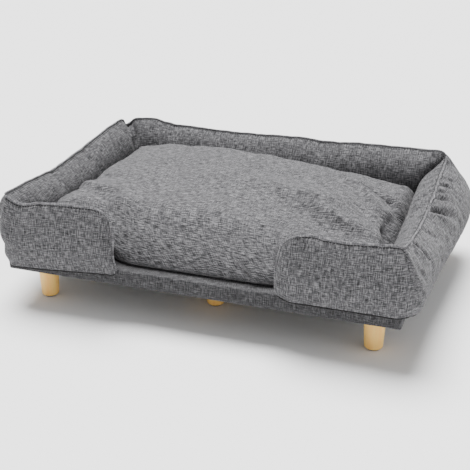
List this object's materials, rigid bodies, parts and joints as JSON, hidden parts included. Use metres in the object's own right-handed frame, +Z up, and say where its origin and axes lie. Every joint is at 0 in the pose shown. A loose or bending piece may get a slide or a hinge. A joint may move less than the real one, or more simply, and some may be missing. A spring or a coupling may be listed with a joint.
{
  "type": "dog sofa bed",
  "caption": "Low upholstered dog bed: padded walls on three sides, front wings with an open entry, loose lift-out cushion, wooden frame on turned legs.",
  "frame": {"origin": "on the floor, under the middle of the bed", "axes": "+X to the right seen from the front, along the bed's length; the open entry faces -Y; +Z up"},
  "size_m": [0.9958, 0.7138, 0.272],
  "materials": {
    "linen_weave": "matte",
    "pine": "matte",
    "plywood": "matte",
    "beech": "satin",
    "steel": "satin",
    "felt": "matte",
    "nonwoven": "matte",
    "foam": "matte",
    "fibre": "matte",
    "zip_tape": "matte"
  },
  "bodies": {
    "bed": {"front_rail": "pine", "rear_rail": "pine", "left_rail": "pine", "right_rail": "pine", "cross_rail_left": "pine", "cross_rail_right": "pine", "centre_rail": "pine", "corner_block_front_left": "pine", "corner_block_front_right": "pine", "corner_block_rear_left": "pine", "corner_block_rear_right": "pine", "deck_panel": "plywood", "deck_foam": "foam", "base_cover": "linen_weave", "dust_cover": "nonwoven", "leg_front_left": "beech", "hanger_bolt_front_left": "steel", "tee_nut_front_left": "steel", "felt_glide_front_left": "felt", "leg_front_middle": "beech", "hanger_bolt_front_middle": "steel", "tee_nut_front_middle": "steel", "felt_glide_front_middle": "felt", "leg_front_right": "beech", "hanger_bolt_front_right": "steel", "tee_nut_front_right": "steel", "felt_glide_front_right": "felt", "leg_rear_left": "beech", "hanger_bolt_rear_left": "steel", "tee_nut_rear_left": "steel", "felt_glide_rear_left": "felt", "leg_rear_middle": "beech", "hanger_bolt_rear_middle": "steel", "tee_nut_rear_middle": "steel", "felt_glide_rear_middle": "felt", "leg_rear_right": "beech", "hanger_bolt_rear_right": "steel", "tee_nut_rear_right": "steel", "felt_glide_rear_right": "felt", "left_wall_cover": "linen_weave", "left_wall_fill": "fibre", "right_wall_cover": "linen_weave", "right_wall_fill": "fibre", "back_wall_cover": "linen_weave", "back_wall_fill": "fibre", "left_wing_cover": "linen_weave", "left_wing_fill": "fibre", "right_wing_cover": "linen_weave", "right_wing_fill": "fibre", "wall_zip_chain": "zip_tape"},
    "cushion": {"cushion_cover": "linen_weave", "cushion_fill": "fibre", "cushion_zip_chain": "zip_tape"},
    "cushion_zip_slider": {"cushion_zip_slider": "steel"},
    "wall_zip_slider": {"wall_zip_slider": "steel"},
    "wall_zip_pull": {"wall_zip_pull": "steel"}
  },
  "joints": [
    {"name": "cushion_lift", "type": "slide", "parent": "bed", "child": "cushion", "axis": [0, 0, 1], "range_m": [0, 0.3]},
    {"name": "cushion_zip", "type": "slide", "parent": "cushion", "child": "cushion_zip_slider", "axis": [-1, 0, 0], "range_m": [0, 0.57]},
    {"name": "wall_zip", "type": "slide", "parent": "bed", "child": "wall_zip_slider", "axis": [-1, 0, 0], "range_m": [0, 0.77]},
    {"name": "wall_zip_pull_swing", "type": "hinge", "parent": "wall_zip_slider", "child": "wall_zip_pull", "pos_m": [0.388, 0.35495, 0.12], "axis": [0, 0, 1], "range_deg": [0, 165]}
  ]
}
